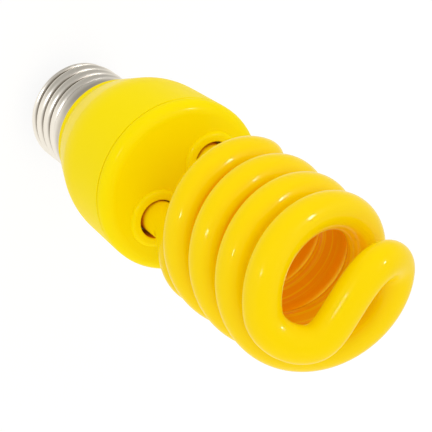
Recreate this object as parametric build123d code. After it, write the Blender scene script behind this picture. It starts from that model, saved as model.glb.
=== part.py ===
from build123d import *
import os
from math import cos, radians, sin

# Spiral compact fluorescent lamp. Millimetres, +Z from the screw cap to the tip of the glass,
# origin at the flat end of the centre contact.

# Screw cap: standard E26 shell of rolled sheet
thread_crest_r = 13.1
thread_root_r = 12.2
thread_pitch = 3.629
thread_ridge_w = 2.8
shell_sheet = 0.3
shell_bottom_z = 6.0
shell_heel_r = 1.6
skirt_r = 13.2
skirt_z = 20.2
skirt_flare_h = 1.0
thread_runout = 1.2
collar_z = 25.2
mouth_r = 9.4

# Centre contact and the glass that insulates it
contact_r = 5.2
contact_flat_r = 3.0
contact_head_h = 1.2
contact_bevel_h = 0.9
stud_r = 1.6
stud_top_z = 7.0
insulator_top_z = 8.6
insulator_side_r = 11.0

# Housing base
collar_r = 14.6
collar_h = 1.6
collar_round = 0.6
flare_r = 16.4
flare_h = 3.6
flare_round = 5.0
wall_draft = 0.8
shoulder_z = 40.9
shoulder_round = 24.0
seam_r = 21.1
seam_z = 58.6
seam_round = 0.2
reveal_h = 0.3
reveal_depth = 0.9
rim_w = 2.1
wall = 1.6
neck_bore_r = 10.2
neck_bottom_z = 11.0
neck_step = 0.8
rib_count = 4
rib_angle = 70.0
rib_w = 1.4
rib_h = 7.0
rib_nose_h = 2.0
ledge_w = 1.7

# Housing cover
cover_h = 3.9
cover_round = 3.0
face_wall = 1.8
spigot_wall = 1.25
spigot_depth = 6.6
lug_count = 3
lug_w = 5.0
lug_h = 1.4
lug_reach = 0.5
lug_drop = 3.0
lug_gap = 0.3
hole_gap = 0.55
hole_shift = 0.35
ring_w = 2.35
ring_h = 1.1
sleeve_wall = 1.2
sleeve_depth = 6.1
cement_h = 1.6
cement_gap = 0.03

# Glass tube: two straight legs that bend into two helices, which an S-bend joins at the tip
tube_d = 8.4
helix_r = 16.5
helix_pitch = 22.96
helix_turns = 1.82
helix_rise = 21.6
bridge_angle = -46.0
bridge_rise = 6.25
bridge_lift = 1.2
bridge_turn = 51.1
bridge_run = 0.49 * helix_r
bridge_reach = 0.676 * helix_r
bridge_straight = 0.616 * helix_r
bridge_middle = 0.282 * helix_r
leg_inset = 7.5
leg_angle = -9.0
bend_rise = 16.5
bend_lift = 6.0
bend_run = 10.2
tube_end_gap = 2.5
tube_end_round = 1.5

# Ballast board and its parts, which hang from it into the base
board_t = 1.6
board_gap = 0.4
lead_r = 0.3
lead_tail = 0.8
post_r = 0.45
post_h = 4.2
post_angle = 38.0
post_inset = 1.6
wire_r = 0.6

# Clearances
slide_gap = 0.15
hole_clear = 0.1

tube_r = tube_d / 2
bore_r = seam_r - rim_w
board_r = bore_r - board_gap
spigot_r = bore_r - slide_gap
shoulder_r = seam_r - wall_draft
lug_z = seam_z - lug_drop
board_top_z = seam_z - spigot_depth
board_under_z = board_top_z - board_t
face_z = seam_z + cover_h
sleeve_bottom_z = face_z - sleeve_depth
helix_z = face_z + helix_rise
bridge_z = helix_z + helix_pitch * helix_turns
leg_r = helix_r - leg_inset
leg_top_z = helix_z - bend_rise
tube_end_z = board_top_z + tube_end_gap
hole_r = tube_r + hole_gap

os.makedirs("parts", exist_ok=True)
board_holes = []


def save(name, *shapes):
    solids = [solid for shape in shapes for solid in shape.solids()]
    export_step(Compound(solids), f"parts/{name}.step")


def turned(points, radii):
    """A solid turned about Z from an outline of (radius, height) points with rounded corners."""
    return revolve(Plane.XZ * make_face(FilletPolyline(*points, radius=radii, close=True)))


def rod(x, y, z_low, z_high, r):
    upright = (Align.CENTER, Align.CENTER, Align.MIN)
    return Pos(x, y, z_low) * Cylinder(r, z_high - z_low, align=upright)


def block(x, y, z_low, size_x, size_y, z_high, corner=0.0):
    outline = RectangleRounded(size_x, size_y, corner) if corner else Rectangle(size_x, size_y)
    return Pos(x, y, z_low) * extrude(outline, z_high - z_low)


def polar(r, angle, z=0.0):
    return Vector(r * cos(radians(angle)), r * sin(radians(angle)), z)


def around(count, first=0.0):
    """Turns about Z that repeat a piece evenly."""
    return [Rot(0, 0, first + 360 * i / count) for i in range(count)]


def lead(x, y, z_low, r=lead_r):
    """A lead that rises through its own hole in the board."""
    board_holes.append((x, y, r))
    return rod(x, y, z_low, board_top_z + lead_tail, r)


def wire(points, r, bend):
    """A round wire along straight runs joined by arcs."""
    path = FilletPolyline(*points, radius=bend)
    return sweep(Plane(path @ 0, z_dir=path % 0) * Circle(r), path=path)


# Screw shell: the thread is rolled into thin sheet, so its inside is its outside set in by the sheet
def shell_form(inset):
    crest = thread_crest_r - inset
    root = thread_root_r - inset
    skirt = skirt_r - inset
    low = shell_bottom_z + inset
    core = turned(
        [
            (0, low),
            (root, low),
            (root, skirt_z - skirt_flare_h),
            (skirt, skirt_z),
            (skirt, collar_z),
            (0, collar_z),
        ],
        [0, shell_heel_r, 0.3, 0.3, 0, 0],
    )
    heel = turned(
        [(0, low), (crest, low), (crest, collar_z), (0, collar_z)],
        [0, shell_heel_r + thread_crest_r - thread_root_r, 0, 0],
    )
    half_w = thread_ridge_w / 2
    start_z = shell_bottom_z - thread_pitch / 2
    path = Pos(0, 0, start_z) * Helix(thread_pitch, skirt_z + thread_runout - start_z, root)
    crown = ThreePointArc((root, -half_w), (crest + 0.001, 0), (root, half_w))
    inside = root - shell_sheet
    foot = Polyline((root, half_w), (inside, half_w), (inside, -half_w), (root, -half_w))
    section = Pos(0, 0, start_z) * (Plane.XZ * make_face([crown, foot]))
    return core + (sweep(section, path=path, is_frenet=True) & heel)


mouth = rod(0, 0, shell_bottom_z - 1, shell_bottom_z + 1, mouth_r)
save("screw_shell", shell_form(0) - shell_form(shell_sheet) - mouth)

# Contact stud, and the black glass moulded between it and the shell
save(
    "centre_contact",
    turned(
        [
            (0, 0),
            (contact_flat_r, 0),
            (contact_r, contact_bevel_h),
            (contact_r, contact_head_h),
            (stud_r, contact_head_h),
            (stud_r, stud_top_z),
            (0, stud_top_z),
        ],
        [0, 0.6, 0, 0, 0, 0.4, 0],
    ),
)
glass_mouth_r = mouth_r - 0.05
glass_floor_z = shell_bottom_z + shell_sheet
stud_bore_r = stud_r + hole_clear
save(
    "cap_insulator",
    turned(
        [
            (stud_bore_r, contact_head_h),
            (contact_r + 0.3, contact_head_h),
            (glass_mouth_r, shell_bottom_z - 0.4),
            (glass_mouth_r, glass_floor_z),
            (glass_mouth_r + 0.5, glass_floor_z),
            (insulator_side_r, glass_floor_z + 1.3),
            (insulator_side_r, insulator_top_z),
            (stud_bore_r, insulator_top_z),
        ],
        [0, 0.6, 1.2, 0, 0, 0, 0.5, 0],
    ),
)

# Housing base: bell with a neck inside the cap, and ribs that carry the board
neck_r = thread_root_r - shell_sheet - slide_gap
skirt_fit_r = skirt_r - shell_sheet - slide_gap
floor_z = collar_z + wall
inner_flank_r = collar_r - wall - 0.4
bell = turned(
    [
        (neck_bore_r, neck_bottom_z),
        (neck_r, neck_bottom_z),
        (neck_r, skirt_z + neck_step),
        (skirt_fit_r, skirt_z + neck_step),
        (skirt_fit_r, collar_z),
        (collar_r, collar_z),
        (collar_r, collar_z + collar_h),
        (flare_r, collar_z + collar_h + flare_h),
        (shoulder_r, shoulder_z),
        (seam_r, seam_z),
        (bore_r, seam_z),
        (bore_r, shoulder_z + 2.1),
        (inner_flank_r, floor_z),
        (neck_bore_r, floor_z),
    ],
    [0, 0.5, 0, 0.3, 0, collar_round, 1.0, flare_round, shoulder_round, seam_round, 0.3, 8.0, 0.8, 0.5],
)
lug_groove = turned(
    [
        (bore_r - 1, lug_z - lug_h / 2 - lug_gap),
        (bore_r + lug_reach + hole_clear, lug_z - lug_h / 2 - lug_gap),
        (bore_r + lug_reach + hole_clear, lug_z + lug_h / 2 + lug_gap),
        (bore_r - 1, lug_z + lug_h / 2 + lug_gap),
    ],
    0,
)
ledge_r = board_r - ledge_w
rib_root_r = bore_r + 0.4
rib_outline = Polyline(
    (ledge_r, board_under_z),
    (rib_root_r, board_under_z),
    (rib_root_r, board_under_z - rib_h),
    (ledge_r, board_under_z - rib_nose_h),
    close=True,
)
rib = extrude(Plane.XZ * make_face(rib_outline), rib_w / 2, both=True)
for turn in around(rib_count, rib_angle):
    bell = bell + turn * rib
save("housing_base", bell - lug_groove)

# Glass tube: leg, bend into the helix, helix, S-bend, and the same again turned half round
half_turn = Rot(0, 0, 180)
helix_start = bridge_angle - 360 * helix_turns
coil = Helix(helix_pitch, helix_pitch * helix_turns, helix_r)
helix = (Pos(0, 0, helix_z) * Rot(0, 0, helix_start % 360) * coil).edge()
leg_foot = polar(leg_r, leg_angle, tube_end_z)
leg_head = polar(leg_r, leg_angle, leg_top_z)
leg = Edge.make_line(leg_foot, leg_head)
upright = leg_head + Vector(0, 0, bend_lift)
incoming = helix @ 0 - (helix % 0) * bend_run
bend = Bezier(leg_head, upright, incoming, helix @ 0).edge()

tip = Vector(0, 0, bridge_z + bridge_rise)
chord_angle = bridge_angle + bridge_turn
half_bridge = Bezier(
    helix @ 1,
    helix @ 1 + (helix % 1) * bridge_run,
    tip + polar(bridge_reach, chord_angle, bridge_lift),
    tip + polar(bridge_straight, chord_angle),
    tip + polar(bridge_middle, chord_angle),
    tip,
).edge()

first_half = [leg, bend, helix, half_bridge]
second_half = [half_turn * edge for edge in reversed(first_half)]
tube_path = Wire([*first_half, *second_half])
tube = sweep(Plane(leg_foot, z_dir=(0, 0, 1)) * Circle(tube_r), path=tube_path)
end_rims = [edge for edge in tube.edges() if abs(edge.center().Z - tube_end_z) < 0.01]
tube = fillet(end_rims, tube_end_round)
save("glass_tube", tube)

# Housing cover: domed edge, flat face, spigot that clamps the board, a raised ring and sleeve at each leg
seat_r = seam_r - reveal_depth
cover = turned(
    [
        (0, face_z - face_wall),
        (spigot_r - spigot_wall, face_z - face_wall),
        (spigot_r - spigot_wall, board_top_z),
        (spigot_r, board_top_z),
        (spigot_r, seam_z),
        (seat_r, seam_z),
        (seat_r, seam_z + reveal_h),
        (seam_r, seam_z + reveal_h),
        (seam_r, face_z),
        (0, face_z),
    ],
    [0, 0.8, 0, 0.4, 0, 0, 0, seam_round, cover_round, 0],
)
lug = block(spigot_r, 0, lug_z - lug_h / 2, 2 * lug_reach, lug_w, lug_z + lug_h / 2)
for turn in around(lug_count, 90):
    cover = cover + turn * lug
ring_outline = FilletPolyline(
    (hole_r, face_z - face_wall / 2),
    (hole_r + ring_w, face_z - face_wall / 2),
    (hole_r + ring_w, face_z + ring_h),
    (hole_r, face_z + ring_h),
    radius=[0, 0, ring_h, 0.5],
    close=True,
)
ring = revolve(Plane.XZ * make_face(ring_outline))
sleeve = rod(0, 0, sleeve_bottom_z, face_z - face_wall / 2, hole_r + sleeve_wall)
hole = rod(0, 0, sleeve_bottom_z - 1, face_z + ring_h + 1, hole_r)
hole_place = Pos(polar(leg_r + hole_shift, leg_angle))
for turn in around(2):
    cover = cover + turn * hole_place * sleeve + turn * hole_place * ring
for turn in around(2):
    cover = cover - turn * hole_place * hole
save("housing_cover", cover)

# Cement between the legs and their sleeves
cement_top_z = sleeve_bottom_z + cement_h
cement = hole_place * rod(0, 0, sleeve_bottom_z, cement_top_z, hole_r)
cement -= Pos(polar(leg_r, leg_angle)) * rod(0, 0, sleeve_bottom_z, cement_top_z, tube_r + cement_gap)
save("tube_cement", *[turn * cement for turn in around(2)])

# Posts on the board, and the lead wires that run to them from the tube's ends
post_ring_r = board_r - post_inset
lead_level_z = (tube_end_z + board_top_z) / 2
lead_spread = 8.0
posts = []
filament_leads = []
for half in (0, 180):
    for side in (-1, 1):
        post = polar(post_ring_r, half + leg_angle + side * post_angle)
        start = polar(leg_r, half + leg_angle + side * lead_spread)
        board_holes.append((post.X, post.Y, post_r))
        posts.append(rod(post.X, post.Y, board_under_z - lead_tail, board_top_z + post_h, post_r))
        run = (post - start).normalized()
        end = post - run * post_r
        drop = [
            (start.X, start.Y, tube_end_z),
            (start.X, start.Y, lead_level_z),
            (end.X, end.Y, lead_level_z),
        ]
        filament_leads.append(wire(drop, lead_r - 0.05, 0.6))
save("wire_posts", *posts)
save("filament_leads", *filament_leads)

# Choke: two ferrite E halves round a bobbin, which stands on the board by four pins
choke_x = 6.5
core_w = 16.0
core_h = 14.0
core_t = 4.8
core_leg = 4.0
core_back = 3.0
air_gap = 0.2
window_w = 3.6
bobbin_wall = 0.7
flange_w = 10.4
core_top_z = board_under_z - 1.4
core_mid_z = core_top_z - core_h / 2
window_h = core_h - 2 * core_back
core_block = block(choke_x, 0, core_top_z - core_h, core_t, core_w, core_top_z)
window_y = core_leg / 2 + window_w / 2
for side in (-1, 1):
    window_low = core_mid_z - window_h / 2
    core_block -= block(choke_x, side * window_y, window_low, core_t, window_w, window_low + window_h)
core_gap = block(choke_x, 0, core_mid_z - air_gap / 2, core_t, core_w, core_mid_z + air_gap / 2)
save("choke_core", core_block - core_gap)
spool_low = core_mid_z - window_h / 2 + slide_gap
spool_high = core_mid_z + window_h / 2 - slide_gap
leg_hole_x = core_t + 2 * slide_gap
leg_hole_y = core_leg + 2 * slide_gap
barrel_x = leg_hole_x + 2 * bobbin_wall
barrel_y = leg_hole_y + 2 * bobbin_wall
flange_y = core_leg + 2 * window_w - 2 * slide_gap
spool = block(choke_x, 0, spool_low, barrel_x, barrel_y, spool_high)
for low in (spool_low, spool_high - bobbin_wall):
    spool += block(choke_x, 0, low, flange_w, flange_y, low + bobbin_wall, 0.6)
foot_w = 1.6
foot_x = (flange_w - foot_w) / 2
for side in (-1, 1):
    spool += block(choke_x + side * foot_x, 0, spool_high - bobbin_wall, foot_w, flange_y, board_under_z)
spool -= block(choke_x, 0, spool_low, leg_hole_x, leg_hole_y, spool_high)
for side_x in (-1, 1):
    for side_y in (-1, 1):
        pin_x = choke_x + side_x * foot_x
        pin_y = side_y * (flange_y / 2 - 1.2)
        spool += lead(pin_x, pin_y, board_under_z - 1.0)
save("choke_bobbin", spool)
coil_low = spool_low + bobbin_wall
coil_high = spool_high - bobbin_wall
copper = block(choke_x, 0, coil_low, flange_w - 0.6, flange_y - 0.6, coil_high, 2.0)
save("choke_winding", copper - block(choke_x, 0, coil_low, barrel_x, barrel_y, coil_high))

# Electrolytic capacitor: rolled aluminium can with a rubber-side groove, on two leads
can_x = -8.0
can_r = 5.0
can_h = 16.0
can_top_z = board_under_z - 0.6
can = Pos(can_x, 0, 0) * turned(
    [
        (0, can_top_z - can_h),
        (can_r, can_top_z - can_h),
        (can_r, can_top_z - 2.6),
        (can_r - 0.5, can_top_z - 2.1),
        (can_r, can_top_z - 1.6),
        (can_r, can_top_z),
        (can_r - 1.0, can_top_z),
        (can_r - 1.2, can_top_z - 0.3),
        (0, can_top_z - 0.3),
    ],
    [0, 0.6, 0.2, 0.4, 0.2, 0.4, 0, 0, 0],
)
for side in (-1, 1):
    can += lead(can_x, side * 2.5, can_top_z - 1.0)
save("bulk_capacitor", can)

# Drive transformer: ferrite ring with three windings
ring_x = -4.0
ring_y = 11.8
ring_outer_r = 4.4
ring_inner_r = 2.4
ring_t = 3.8
winding_t = 0.5
winding_arc = 55.0
wrap_gap = 0.04
ring_top_z = board_under_z - winding_t - 0.1
ring_place = Pos(ring_x, ring_y, 0)
core_ring = rod(0, 0, ring_top_z - ring_t, ring_top_z, ring_outer_r)
core_ring -= rod(0, 0, ring_top_z - ring_t, ring_top_z, ring_inner_r)
save("ring_core", ring_place * core_ring)
wrap_section = Pos((ring_outer_r + ring_inner_r) / 2, ring_top_z - ring_t / 2, 0) * (
    RectangleRounded(ring_outer_r - ring_inner_r + 2 * winding_t, ring_t + 2 * winding_t, winding_t)
    - Rectangle(ring_outer_r - ring_inner_r + 2 * wrap_gap, ring_t + 2 * wrap_gap)
)
wrap = revolve(Plane.XZ * wrap_section, revolution_arc=winding_arc)
windings = []
for i, turn in enumerate(around(3, 10)):
    spot = polar(ring_outer_r + lead_r + wrap_gap, 10 + 120 * i + winding_arc / 2)
    tail = lead(ring_x + spot.X, ring_y + spot.Y, ring_top_z - 1.0, lead_r)
    windings.append(ring_place * turn * wrap + tail)
save("ring_windings", *windings)

# Transistors: round-backed bodies with a flat front, each on three leads
body_r = 2.3
body_flat = 1.5
body_h = 4.8
body_top_z = board_under_z - 2.4
lead_pitch = 1.27
transistors = []
for x, y in ((-2.4, -12.4), (3.3, -12.5)):
    body = rod(x, y, body_top_z - body_h, body_top_z, body_r)
    body -= block(x, y + body_flat + body_r / 2, body_top_z - body_h, 2 * body_r, body_r, body_top_z)
    for step in (-1, 0, 1):
        body += lead(x + step * lead_pitch, y, body_top_z - 0.5, lead_r - 0.05)
    transistors.append(body)
save("transistors", *transistors)


def hairpin(place_r, angle, r, length, fold):
    """A round part that stands on one lead, with the other folded back beside it to the board."""
    top_z = board_under_z - 0.6
    foot = polar(place_r, angle)
    side = polar(place_r - fold, angle)
    low_z = top_z - length - 1.4
    body = rod(foot.X, foot.Y, top_z - length, top_z, r) + lead(foot.X, foot.Y, top_z - 0.5)
    path = [
        (foot.X, foot.Y, top_z - length + 0.5),
        (foot.X, foot.Y, low_z),
        (side.X, side.Y, low_z),
        (side.X, side.Y, board_top_z + lead_tail),
    ]
    board_holes.append((side.X, side.Y, lead_r))
    return body + wire(path, lead_r, 0.7)


diode_angles = (-62, -51, -40, -29)
save("rectifier_diodes", *[hairpin(15.2, angle, r=1.3, length=5.2, fold=2.4) for angle in diode_angles])
resistor_angles = (153, 165, 177, 189)
save("resistors", *[hairpin(15.5, angle, r=1.15, length=6.3, fold=2.0) for angle in resistor_angles])
save("trigger_diode", hairpin(7.6, -95, r=1.0, length=4.2, fold=2.0))


def film_capacitor(x, y, size_x, size_y, height, pitch_x, pitch_y):
    """A dipped film capacitor: a soft-edged block on two leads."""
    top_z = board_under_z - 0.5
    body = block(x, y, top_z - height, size_x, size_y, top_z, min(size_x, size_y) / 3)
    body = fillet(body.edges().group_by(Axis.Z)[0] + body.edges().group_by(Axis.Z)[-1], 0.7)
    for side in (-1, 1):
        body += lead(x + side * pitch_x / 2, y + side * pitch_y / 2, top_z - 1.0)
    return body


save("resonant_capacitor", film_capacitor(6.5, 11.4, 9.0, 4.5, 8.0, 7.0, 0))
save("coupling_capacitor", film_capacitor(14.2, 0, 3.8, 7.0, 7.0, 0, 5.0))
save("start_capacitor", film_capacitor(-0.6, 3.8, 2.4, 4.8, 5.0, 0, 2.5))

# Filter choke: drum core with its winding level with the flanges
drum_x = -9.6
drum_y = -8.6
drum_r = 3.5
drum_h = 8.0
drum_top_z = board_under_z - 0.5
flange_t = 1.2
drum = Pos(drum_x, drum_y, 0) * turned(
    [
        (0, drum_top_z - drum_h),
        (drum_r, drum_top_z - drum_h),
        (drum_r, drum_top_z - drum_h + flange_t),
        (drum_r - 0.3, drum_top_z - drum_h + flange_t),
        (drum_r - 0.3, drum_top_z - flange_t),
        (drum_r, drum_top_z - flange_t),
        (drum_r, drum_top_z),
        (0, drum_top_z),
    ],
    [0, 0.3, 0, 0, 0, 0, 0.3, 0],
)
for side in (-1, 1):
    drum += lead(drum_x, drum_y + side * 2.5, drum_top_z - 0.5)
save("filter_choke", drum)

# Mains wires: one to the centre contact by way of the sleeved fuse resistor, one to the shell
fuse_top_z = 22.0
fuse_low_z = 12.5
fuse_r = 1.9
fuse = turned(
    [(0, fuse_low_z), (fuse_r, fuse_low_z), (fuse_r, fuse_top_z), (0, fuse_top_z)],
    [0, 0.8, 0.8, 0],
)
save("fuse_resistor", fuse + rod(0, 0, stud_top_z, fuse_low_z + 0.5, lead_r + 0.1))
live_x = -1.0
live_y = -4.4
live_run = [
    (live_x, live_y, board_under_z),
    (live_x, live_y, fuse_top_z + 9.0),
    (0, 0, fuse_top_z + 4.0),
    (0, 0, fuse_top_z),
]
save("live_wire", wire(live_run, wire_r, 3.0))
neutral_x = -1.0
neutral_y = -1.2
neck_side_x = 1.6 - neck_bore_r
under_neck_z = neck_bottom_z - wire_r - 0.2
neutral_run = [
    (neutral_x, neutral_y, board_under_z),
    (neutral_x, neutral_y, can_top_z - can_h - 1.5),
    (neck_side_x, neutral_y, can_top_z - can_h - 6.5),
    (neck_side_x, neutral_y, under_neck_z),
    (-neck_r, neutral_y, under_neck_z),
]
save("neutral_wire", wire(neutral_run, wire_r, [2.5, 2.5, 1.2]))

# Board, drilled for every lead and post
board = rod(0, 0, board_under_z, board_top_z, board_r)
for x, y, r in board_holes:
    board -= rod(x, y, board_under_z, board_top_z, r + hole_clear)
save("circuit_board", board)
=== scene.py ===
from math import tau

import bpy
from mathutils import Matrix, Vector


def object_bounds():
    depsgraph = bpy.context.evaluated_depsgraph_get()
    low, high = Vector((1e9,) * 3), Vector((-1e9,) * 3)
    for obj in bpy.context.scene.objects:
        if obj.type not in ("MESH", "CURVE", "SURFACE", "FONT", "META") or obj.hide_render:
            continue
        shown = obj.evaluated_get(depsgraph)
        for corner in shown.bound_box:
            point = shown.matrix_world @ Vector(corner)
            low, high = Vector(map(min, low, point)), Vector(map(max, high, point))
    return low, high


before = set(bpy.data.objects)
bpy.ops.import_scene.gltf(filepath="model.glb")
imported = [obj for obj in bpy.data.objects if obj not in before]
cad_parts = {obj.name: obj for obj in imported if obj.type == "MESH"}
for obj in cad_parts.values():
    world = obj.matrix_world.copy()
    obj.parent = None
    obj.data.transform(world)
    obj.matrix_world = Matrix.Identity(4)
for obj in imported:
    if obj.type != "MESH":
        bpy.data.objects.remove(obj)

cad_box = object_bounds()
bpy.context.scene.view_settings.view_transform = "Standard"


# Screw shell: thin sheet rolled to a thread, nickel plated and pressed on the neck of the housing.
# Rolling leaves fine lines round it. The roots of the thread and the skirt towards the collar are
# painted darker, as painted shade and dark reflection, while the crests keep the bright plate.
class Signal:
    """A socket of a node tree, with sums written as Python expressions."""

    def __init__(self, tree, socket=None):
        self.tree = tree
        self.socket = socket

    def node(self, kind, settings, inputs, output=0):
        """Adds a node, sets it, feeds its sockets with values or signals, and returns one output."""
        made = self.tree.nodes.new("ShaderNode" + kind)
        for name, value in settings.items():
            setattr(made, name, value)
        for key, value in inputs.items():
            if isinstance(value, Signal):
                self.tree.links.new(value.socket, made.inputs[key])
            else:
                made.inputs[key].default_value = value
        return Signal(self.tree, made.outputs[output] if made.outputs else None)

    def math(self, operation, *others):
        """A Math node on this signal and the values after it."""
        return self.node("Math", {"operation": operation}, dict(enumerate((self, *others))))

    def __add__(self, other):
        return self.math("ADD", other)

    def __sub__(self, other):
        return self.math("SUBTRACT", other)

    def __rsub__(self, other):
        return self.node("Math", {"operation": "SUBTRACT"}, {0: other, 1: self})

    def __mul__(self, other):
        return self.math("MULTIPLY", other)

    def __pow__(self, other):
        return self.math("POWER", other)

    def rise(self, low, high):
        """Goes smoothly from 0 to 1 as this signal goes from low to high."""
        settings = {"interpolation_type": "SMOOTHSTEP"}
        return self.node("MapRange", settings, {0: self, 1: low, 2: high, 3: 0.0, 4: 1.0})

    def blend(self, first, second):
        """A colour that goes from the first to the second as this signal goes from 0 to 1."""
        return self.node("Mix", {"data_type": "RGBA"}, {0: self, 6: first, 7: second}, 2)


class Finish:
    """A new material: constants go on the shader's own sockets, and signals are linked to it."""

    def __init__(self, name, **constants):
        self.material = bpy.data.materials.new(name)
        self.material.use_nodes = True
        self.tree = self.material.node_tree
        self.shader = self.tree.nodes["Principled BSDF"]
        self.start = Signal(self.tree)
        self.place = self.start.node("TexCoord", {}, {}, "Object")
        for socket, value in constants.items():
            self.shader.inputs[socket.replace("_", " ")].default_value = value

    def feed(self, socket, signal):
        self.tree.links.new(signal.socket, self.shader.inputs[socket])

    def noise(self, lumps, detail, roughness=0.5):
        """Cloudy noise, with the number of lumps in a metre along X, Y and Z."""
        spread = self.start.node("VectorMath", {"operation": "MULTIPLY"}, {0: self.place, 1: lumps})
        inputs = {"Vector": spread, "Scale": 1.0, "Detail": detail, "Roughness": roughness}
        return self.start.node("TexNoise", {}, inputs)

    def along(self, axis):
        """Place along X, Y or Z, for 0, 1 or 2. The lamp's own axis is Z."""
        return self.start.node("SeparateXYZ", {}, {0: self.place}, axis)

    def off_axis(self):
        """Distance from the lamp's axis."""
        x = self.along(0)
        y = self.along(1)
        return (x * x + y * y) ** 0.5

    def bump(self, height, depth):
        inputs = {"Height": height, "Distance": depth, "Strength": 1.0}
        self.feed("Normal", self.start.node("Bump", {}, inputs))

    def paint(self, *nodes):
        for name in nodes:
            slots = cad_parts[name].data.materials
            slots.clear()
            slots.append(self.material)


root_r = 0.01215
crown_r = 0.01275
skirt_low = 0.0200
skirt_high = 0.0225
painted_shade_colour = (0.19, 0.155, 0.11, 1)
nickel = Finish("nickel_plate", Metallic=1.0)
roll_lines = nickel.noise((40, 40, 3000), 3.0)
smudges = nickel.noise((160, 160, 160), 4.0, 0.6)
# Painted shade and reflection: darker in the thread's roots and on the skirt towards the collar.
root_painted_shade = (1 - nickel.off_axis().rise(root_r, crown_r)) * (smudges * 0.4 + 0.65)
skirt_painted_shade = nickel.along(2).rise(skirt_low, skirt_high) * (smudges * 0.3 + 0.30)
painted_shade = root_painted_shade.math("MAXIMUM", skirt_painted_shade)
bright_plate = smudges.blend((0.97, 0.945, 0.90, 1), (0.91, 0.88, 0.83, 1))
nickel.feed("Base Color", painted_shade.blend(bright_plate, painted_shade_colour))
nickel.feed("Roughness", roll_lines * 0.10 + painted_shade * 0.10 + 0.28)
nickel.bump(roll_lines, 0.00001)
nickel.paint("screw_shell")

# Centre contact: a brass stud with a tinned head, set in the insulator at the end of the cap.
# It is dulled and scratched where the holder's spring rubs it.
rub_r = 0.0012
clean_r = 0.0030
tin = Finish("tinned_contact", Metallic=1.0)
scratches = tin.noise((900, 90, 900), 4.0, 0.7)
rubbed = (1 - tin.off_axis().rise(rub_r, clean_r)) * scratches
tin.feed("Base Color", rubbed.blend((0.66, 0.63, 0.58, 1), (0.47, 0.42, 0.35, 1)))
tin.feed("Roughness", scratches * 0.25 + 0.22)
tin.bump(scratches, 0.00003)
tin.paint("centre_contact")

# Cap insulator: black glass poured hot between the shell and the contact, which it holds apart.
# It is smooth, with a few low waves and some dust.
cap_glass = Finish("black_cap_glass", IOR=1.52)
waves = cap_glass.noise((260, 260, 260), 2.0)
dust = cap_glass.noise((1400, 1400, 1400), 3.0)
cap_glass.feed("Base Color", dust.blend((0.010, 0.010, 0.012, 1), (0.024, 0.022, 0.020, 1)))
cap_glass.feed("Roughness", dust * 0.14 + 0.06)
cap_glass.bump(waves, 0.00008)
cap_glass.paint("cap_insulator")

# Housing: two shells moulded in yellow plastic with a fine satin grain, glossier at the collar by the
# cap. The cover snaps into the base and leaves a hairline seam. The walls of its two leg holes, lit
# only through the gap round each leg, are painted a deeper orange as painted shade.
hole_centres = ((0.009235, -0.001463, 0), (-0.009235, 0.001463, 0))
hole_rim = (0.00477, 0.00483)
collar_low = (0.0275, 0.0290)
collar_high = (0.0355, 0.0385)
hole_painted_shade = (0.95, 0.40, 0.0, 1)
satin = Finish("satin_yellow_plastic", Specular_IOR_Level=0.015, Coat_Roughness=0.16, Coat_IOR=1.40)
grain = satin.noise((2600, 2600, 2600), 2.0)
flow = satin.noise((45, 45, 25), 3.0)
moulded = flow.blend((0.980, 0.800, 0.0, 1), (0.970, 0.775, 0.0, 1))
on_face = satin.start.node("VectorMath", {"operation": "MULTIPLY"}, {0: satin.place, 1: (1, 1, 0)})
from_first, from_second = [
    satin.start.node("VectorMath", {"operation": "DISTANCE"}, {0: on_face, 1: centre}, "Value")
    for centre in hole_centres
]
# Painted shade: the walls of the two leg holes are painted a deeper orange.
hole_wall_shade = 1 - from_first.math("MINIMUM", from_second).rise(*hole_rim)
satin.feed("Base Color", hole_wall_shade.blend(moulded, hole_painted_shade))
satin.feed("Roughness", grain * 0.10 + flow * 0.06 + 0.34)
height = satin.along(2)
collar = height.rise(*collar_low) * (1 - height.rise(*collar_high))
satin.feed("Coat Weight", collar * 0.28 + 0.12)
satin.bump(grain, 0.000012)
satin.paint("housing_base", "housing_cover")

# Glass tube: one long tube wound hot into two spirals that an S-bend joins at the tip, with a yellow
# coating under a glassy skin, slightly wavy from the winding. Its legs stand cemented in the cover.
# Inside the spiral a deeper orange is painted as shade, less at the top where more light falls, and
# fine lines along the tube are painted reflections. The legs are painted darker in the cover's holes,
# as shade.
winding_r = 0.0165
turn_climb = 0.02296
winding_z = 0.12885
half_gap = turn_climb / 4
streaks_around = 12.0
streaks_along = 45.0
streak_edge = (0.50, 0.64)
streak_end = (0.7, 1.3)
inner_side = (0.0158, 0.0174)
top_turn = (0.110, 0.122)
top_inset = 0.0024
spiral_start = (0.080, 0.088)
spiral_end = (0.1225, 0.1285)
lit_top = (0.106, 0.118)
lit_share = 0.45
hole_mouth = (0.0620, 0.0640)
s_bend_start = (0.1265, 0.1310)
coating = Finish("yellow_coated_glass", Specular_IOR_Level=0.03, Coat_Roughness=0.03, Coat_IOR=1.30)
waves = coating.noise((70, 70, 70), 1.0)
clouds = coating.noise((160, 160, 160), 3.0)
x = coating.along(0)
y = coating.along(1)
height = coating.along(2)
radius = coating.off_axis()
climb = height - y.math("ARCTAN2", x) * (turn_climb / tau) - winding_z
across = climb.math("WRAP", half_gap, -half_gap)
around = across.math("ARCTAN2", winding_r - radius)
line_inputs = {0: around * streaks_around, 1: x * streaks_along, 2: y * streaks_along}
line_place = coating.start.node("CombineXYZ", {}, line_inputs)
lines = coating.start.node("TexNoise", {}, {"Vector": line_place, "Scale": 1.0, "Detail": 2.0})
# Painted reflections: fine pale lines along the tube inside the spiral.
painted_reflection_lines = lines.rise(*streak_edge) * (1 - around.rise(*streak_end))
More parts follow.
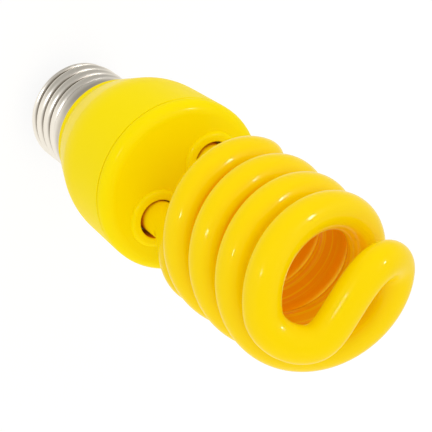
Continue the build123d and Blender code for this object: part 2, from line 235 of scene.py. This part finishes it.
# Painted shade: a deeper orange near the axis inside the spiral, weaker on the top turns.
near_axis = 1 - (radius + height.rise(*top_turn) * top_inset).rise(*inner_side)
in_spiral = height.rise(*spiral_start) * (1 - height.rise(*spiral_end))
inner_painted_shade = near_axis * in_spiral * (1 - height.rise(*lit_top) * lit_share)
# Painted shade: the legs are painted a deeper orange below the mouths of the cover's holes.
in_hole = 1 - height.rise(*hole_mouth)
skin = clouds.blend((0.980, 0.720, 0.0, 1), (0.970, 0.695, 0.0, 1))
outside = in_hole.blend(skin, hole_painted_shade)
inside = painted_reflection_lines.blend((0.96, 0.41, 0.0, 1), (0.98, 0.60, 0.0, 1))
coating.feed("Base Color", inner_painted_shade.blend(outside, inside))
coating.feed("Roughness", clouds * 0.10 + 0.26)
s_bend = height.rise(*s_bend_start)
coating.feed("Coat Weight", 0.45 - inner_painted_shade * 0.33 - s_bend * 0.16)
coating.bump(waves, 0.00020)
coating.paint("glass_tube")


# Tube cement: white cement run in round each leg, which holds the tube in the sleeves of the cover.
# It sets rough, with paler and darker lumps.
def mottled(name, first, second, lumps, roughness, metallic=0.0, depth=0.00002):
    """A finish that goes cloudily from one colour to another, with so many lumps in a metre."""
    made = Finish(name, Metallic=metallic)
    mottle = made.noise((lumps, lumps, lumps), 3.0, 0.6)
    made.feed("Base Color", mottle.blend((*first, 1), (*second, 1)))
    made.feed("Roughness", mottle * 0.2 + roughness)
    made.bump(mottle, depth)
    return made


cement = mottled("white_cement", (0.82, 0.80, 0.74), (0.70, 0.67, 0.60), 900, 0.65, depth=0.00010)
cement.paint("tube_cement")

# Filament leads and wire posts: bare wires leave the sealed ends of the tube and are wrapped on four
# tinned pins, which are pressed into the board.
bare_wire = mottled("lead_wire", (0.60, 0.58, 0.55), (0.46, 0.44, 0.42), 1500, 0.30, metallic=1.0)
bare_wire.paint("filament_leads")
post = mottled("tinned_post", (0.66, 0.63, 0.57), (0.52, 0.50, 0.46), 1200, 0.28, metallic=1.0)
post.paint("wire_posts")

# Circuit board: a round board of resin-bonded paper, drilled for the leads of its parts.
# The cover holds it down on the ribs of the base.
laminate = mottled("paper_laminate", (0.56, 0.41, 0.20), (0.47, 0.33, 0.15), 600, 0.50)
laminate.paint("circuit_board")

# Wound parts: cores of dark ground ferrite with enamelled copper wire, wound on the choke's moulded
# bobbin and through the ring's hole. The bobbin's pins and the other wires' ends go through the board.
ferrite = mottled("ground_ferrite", (0.060, 0.060, 0.065), (0.100, 0.098, 0.095), 1800, 0.50)
ferrite.paint("choke_core", "ring_core", "filter_choke")
bobbin = mottled("black_moulding", (0.040, 0.040, 0.040), (0.060, 0.060, 0.058), 800, 0.45)
bobbin.paint("choke_bobbin")
copper = mottled("enamelled_copper", (0.62, 0.24, 0.09), (0.48, 0.16, 0.05), 2200, 0.25, metallic=1.0)
copper.paint("choke_winding", "ring_windings")

# Capacitors: an aluminium can in a black shrunk sleeve, and three of rolled film dipped in brown
# lacquer. Their leads go through the board.
can_sleeve = mottled("black_sleeve", (0.030, 0.030, 0.035), (0.045, 0.045, 0.050), 400, 0.25)
can_sleeve.paint("bulk_capacitor")
lacquer_dip = mottled("brown_dip", (0.46, 0.11, 0.04), (0.36, 0.08, 0.03), 500, 0.22)
lacquer_dip.paint("resonant_capacitor", "coupling_capacitor", "start_capacitor")

# Transistors and diodes: chips moulded in black resin, and one small diode sealed in blue glass.
# Their leads go through the board.
resin = mottled("black_resin", (0.030, 0.030, 0.030), (0.050, 0.050, 0.048), 1600, 0.50)
resin.paint("transistors", "rectifier_diodes")
diode_glass = mottled("blue_glass", (0.10, 0.24, 0.55), (0.07, 0.17, 0.42), 900, 0.12)
diode_glass.paint("trigger_diode")

# Resistors: rods dipped in beige lacquer, with their leads through the board. The fuse resistor, on
# the way to the centre contact, is closed in a black shrunk sleeve.
rod_lacquer = mottled("beige_lacquer", (0.72, 0.58, 0.38), (0.62, 0.48, 0.30), 700, 0.30)
rod_lacquer.paint("resistors")
fuse_sleeve = mottled("shrunk_sleeve", (0.035, 0.035, 0.035), (0.055, 0.055, 0.055), 900, 0.55)
fuse_sleeve.paint("fuse_resistor")

# Mains wires: copper wire in soft plastic, pressed round it. The red live wire runs from the board to
# the fuse resistor, and the white neutral wire is led out under the neck to the screw shell.
red_cover = mottled("red_insulation", (0.55, 0.05, 0.03), (0.45, 0.04, 0.02), 600, 0.35)
red_cover.paint("live_wire")
white_cover = mottled("white_insulation", (0.85, 0.85, 0.82), (0.76, 0.76, 0.73), 600, 0.35)
white_cover.paint("neutral_wire")

# Floor: a wide white sheet under the lamp, nearly white to the camera, which still takes the lamp's
# shadow. Mirror reflections pass through it and show the white room instead.
floor_size = 6.0
floor_drop = 0.0002
glow_seen = 0.8
glow_unseen = 0.3
bpy.ops.object.select_all(action="DESELECT")
bpy.ops.mesh.primitive_plane_add(size=floor_size, location=(0, 0, cad_box[0].z - floor_drop))
floor = bpy.context.object
floor.name = "floor"
bpy.ops.object.transform_apply(location=True, rotation=True, scale=True)
sheet = bpy.data.materials.new("white_sheet")
sheet.use_nodes = True
sheet.node_tree.nodes.clear()
floor_start = Signal(sheet.node_tree)
direct, mirrored, through_glass = [
    floor_start.node("LightPath", {}, {}, ray)
    for ray in ("Is Camera Ray", "Is Glossy Ray", "Is Transmission Ray")
]
seen = (direct + mirrored + through_glass).math("MINIMUM", 1.0)
glow_share = seen * (glow_seen - glow_unseen) + glow_unseen
matt = floor_start.node("BsdfDiffuse", {}, {"Color": (0.82, 0.82, 0.82, 1)})
glow = floor_start.node("Emission", {}, {"Color": (1, 1, 1, 1), "Strength": 1.08})
mixed = floor_start.node("MixShader", {}, {0: glow_share, 1: matt, 2: glow})
floor_start.node("OutputMaterial", {}, {"Surface": mixed})
floor.data.materials.append(sheet)
floor.visible_glossy = False

# Surroundings: a white room, plain white to the camera and a little warm as light, with a dimmer
# ceiling. Reflections show it white too, but for a dim part beside the lamp and one before it.
beside = (-0.76, -0.60, -0.25)
before = (0.0, -0.60, 0.80)
wall_light = 0.98
ceiling_loss = 0.27
white = (1, 1, 1, 1)
warm_white = (1.0, 0.96, 0.88, 1)
world = bpy.data.worlds.new("white_room")
bpy.context.scene.world = world
world.use_nodes = True
world.node_tree.nodes.clear()
room_start = Signal(world.node_tree)
towards = room_start.node("TexCoord", {}, {}, "Generated")
seen = room_start.node("LightPath", {}, {}, "Is Camera Ray")
mirrored = room_start.node("LightPath", {}, {}, "Is Glossy Ray")
to_side, to_front = [
    room_start.node("VectorMath", {"operation": "DOT_PRODUCT"}, {0: towards, 1: direction}, "Value")
    for direction in (beside, before)
]
side_loss = to_side.rise(0.25, 0.75) * 0.55
front_loss = to_front.rise(0.60, 0.95) * 0.48
dimmed = side_loss.math("MAXIMUM", front_loss)
ceiling = room_start.node("SeparateXYZ", {}, {0: towards}, 2).rise(0.2, 0.7)
walls = wall_light - (1 - mirrored) * ceiling * ceiling_loss - mirrored * dimmed
room_inputs = {"Color": seen.blend(warm_white, white), "Strength": seen.math("MAXIMUM", walls)}
room = room_start.node("Background", {}, room_inputs)
room_start.node("OutputWorld", {}, {"Surface": room})

# Lights: two small soft lamps, right and left of the camera, only make the highlights. A large soft
# box before the bulb and the bounce from a table light it evenly, and don't show in reflections.
lamp_aim = Vector((0, 0, 0.09))
lamp_distance = 1.0
small = 0.12
large = 1.2


def soft_lamp(name, towards, width, power):
    """A square lamp on one side of the bulb, turned to its middle."""
    stand = lamp_aim + Vector(towards).normalized() * lamp_distance
    bpy.ops.object.light_add(type="AREA", location=stand)
    lamp = bpy.context.object
    lamp.name = name
    lamp.data.size = width
    lamp.data.energy = power
    lamp.rotation_euler = Vector(towards).to_track_quat("Z", "Y").to_euler()
    return lamp


right_lamp = soft_lamp("right_lamp", (-0.75, 0.05, 0.66), small, 3.4)
right_lamp.visible_diffuse = False
left_lamp = soft_lamp("left_lamp", (0.17, -0.90, 0.42), small, 1.5)
left_lamp.visible_diffuse = False
softbox = soft_lamp("key_softbox", (-0.45, -0.45, 0.75), large, 3.2)
softbox.visible_glossy = False
bounce = soft_lamp("table_bounce", (0.809, 0.471, 0.351), large, 3.0)
bounce.data.color = (1.0, 0.97, 0.90)
bounce.visible_glossy = False

# Camera: a long lens that looks down on the tip, rolled so that the bulb lies across the picture from
# top left. It stands at the photograph's angle and distance.
eye = Vector((0.0, -0.33090, 0.50571))
aim = Vector((0.00087, 0.00798, 0.06794))
picture_up = Vector((-0.80921, -0.47098, -0.35124))
back = (eye - aim).normalized()
right = picture_up.cross(back).normalized()
up = back.cross(right)
bpy.ops.object.camera_add(location=eye)
camera = bpy.context.object
camera.rotation_euler = Matrix((right, up, back)).transposed().to_euler()
camera.data.sensor_width = 36.0
camera.data.lens = 197.94
camera.data.clip_start = 0.01
camera.data.clip_end = 50.0
bpy.context.scene.camera = camera
